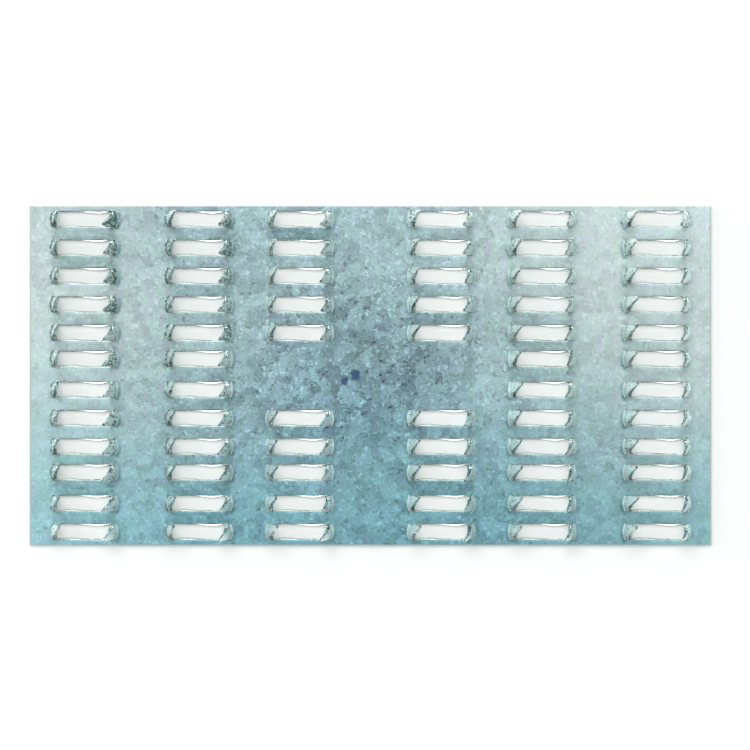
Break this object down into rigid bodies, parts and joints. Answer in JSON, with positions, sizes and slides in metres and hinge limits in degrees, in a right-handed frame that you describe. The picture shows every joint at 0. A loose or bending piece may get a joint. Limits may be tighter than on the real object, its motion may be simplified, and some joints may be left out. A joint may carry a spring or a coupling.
{
  "type": "mending plate",
  "caption": "Flat galvanised steel mending plate, punched with rows of slots whose metal stands up from one face as facing pairs of pointed teeth, to be pressed over a timber joint.",
  "frame": {"origin": "middle of the plate on its flat back face", "axes": "+X along the long side, +Y along the short side, +Z the way the teeth point"},
  "size_m": [0.1524, 0.0756, 0.0111],
  "materials": {
    "galvanised_sheet": "hot-dip galvanised, dull blue-grey zinc with fine pale spangle"
  },
  "bodies": {
    "root": {"mending_plate": "galvanised_sheet"}
  },
  "joints": []
}
